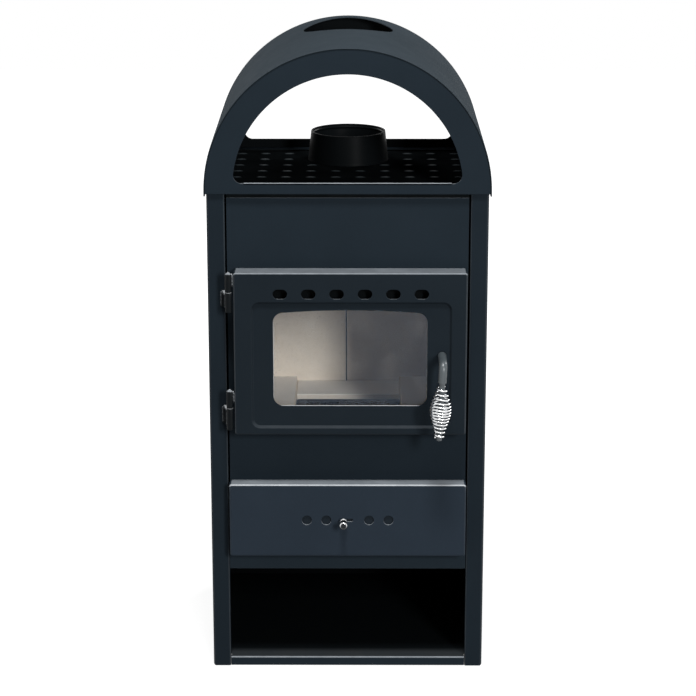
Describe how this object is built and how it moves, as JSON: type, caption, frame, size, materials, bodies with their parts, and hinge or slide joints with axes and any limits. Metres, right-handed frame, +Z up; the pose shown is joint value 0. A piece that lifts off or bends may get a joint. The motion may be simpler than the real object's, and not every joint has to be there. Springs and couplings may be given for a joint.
{
  "type": "wood stove",
  "caption": "Tall sheet-steel wood stove with a windowed fire door, ash drawer with air slider, open log storage, hotplate with flue collar and an arched hood above it.",
  "frame": {"origin": "on the floor, below the middle of the bounding box", "axes": "+Z up, +Y from the door towards the rear, +X to the right of someone facing the door"},
  "size_m": [0.427, 0.4484, 0.9735],
  "materials": {
    "casing_paint": "satin heat-resistant paint, dark blue-grey",
    "black_paint": "matt heat-resistant paint, black",
    "firebox_iron": "bare, dark and rough",
    "firebrick": "dry pressed brick, pale beige",
    "seal_rope": "knitted glass rope, grey",
    "ceramic_glass": "clear heat-resistant glass",
    "chrome_wire": "bright polished",
    "zinc_steel": "zinc-plated sheet, dull"
  },
  "bodies": {
    "stove_body": {"side_panel_left": "casing_paint", "side_panel_right": "casing_paint", "back_panel": "casing_paint", "front_plate": "casing_paint", "crossbar": "casing_paint", "base_plate": "casing_paint", "ash_shelf": "casing_paint", "hotplate": "black_paint", "flue_collar": "black_paint", "hood_arch": "casing_paint", "hood_front_frame": "casing_paint", "hood_rear_frame": "casing_paint", "firebox_left_wall": "firebox_iron", "firebox_right_wall": "firebox_iron", "firebox_rear_wall": "firebox_iron", "firebox_floor": "firebox_iron", "grate": "firebox_iron", "floor_brick_left": "firebrick", "floor_brick_right": "firebrick", "floor_brick_rear": "firebrick", "floor_brick_front": "firebrick", "side_brick_left": "firebrick", "side_brick_right": "firebrick", "rear_brick_left": "firebrick", "rear_brick_right": "firebrick", "baffle": "firebrick", "hinge_upper_body_knuckle": "casing_paint", "hinge_lower_body_knuckle": "casing_paint", "hinge_upper_pin": "zinc_steel", "hinge_lower_pin": "zinc_steel", "latch_catch": "zinc_steel", "drawer_runner_left": "black_paint", "drawer_runner_right": "black_paint"},
    "door": {"door_panel": "casing_paint", "glass_seal": "seal_rope", "window_glass": "ceramic_glass", "glass_clip_lower_left": "zinc_steel", "glass_clip_lower_right": "zinc_steel", "glass_clip_upper_left": "zinc_steel", "glass_clip_upper_right": "zinc_steel", "clip_screw_lower_left": "zinc_steel", "clip_screw_lower_right": "zinc_steel", "clip_screw_upper_left": "zinc_steel", "clip_screw_upper_right": "zinc_steel", "seal_channel": "casing_paint", "door_seal": "seal_rope", "air_wash_channel": "black_paint", "hinge_upper_door_knuckle": "casing_paint", "hinge_lower_door_knuckle": "casing_paint", "handle_bush": "zinc_steel"},
    "handle": {"handle_rod": "black_paint", "handle_coil": "chrome_wire", "latch_cam": "zinc_steel", "latch_nut": "zinc_steel"},
    "drawer": {"drawer_front": "casing_paint", "ash_pan": "zinc_steel", "slider_guide_upper": "black_paint", "slider_guide_lower": "black_paint"},
    "air_control": {"air_slider": "black_paint", "air_knob": "chrome_wire"}
  },
  "joints": [
    {"name": "door_hinge", "type": "hinge", "parent": "stove_body", "child": "door", "pos_m": [-0.1775, -0.15782, 0.52], "axis": [0, 0, -1], "range_deg": [0, 110]},
    {"name": "handle_turn", "type": "hinge", "parent": "door", "child": "handle", "pos_m": [0.1416, -0.16, 0.514], "axis": [0, -1, 0], "range_deg": [0, 90]},
    {"name": "drawer_slide", "type": "slide", "parent": "stove_body", "child": "drawer", "axis": [0, -1, 0], "range_m": [0, 0.25]},
    {"name": "air_slide", "type": "slide", "parent": "drawer", "child": "air_control", "axis": [1, 0, 0], "range_m": [0, 0.012]}
  ]
}
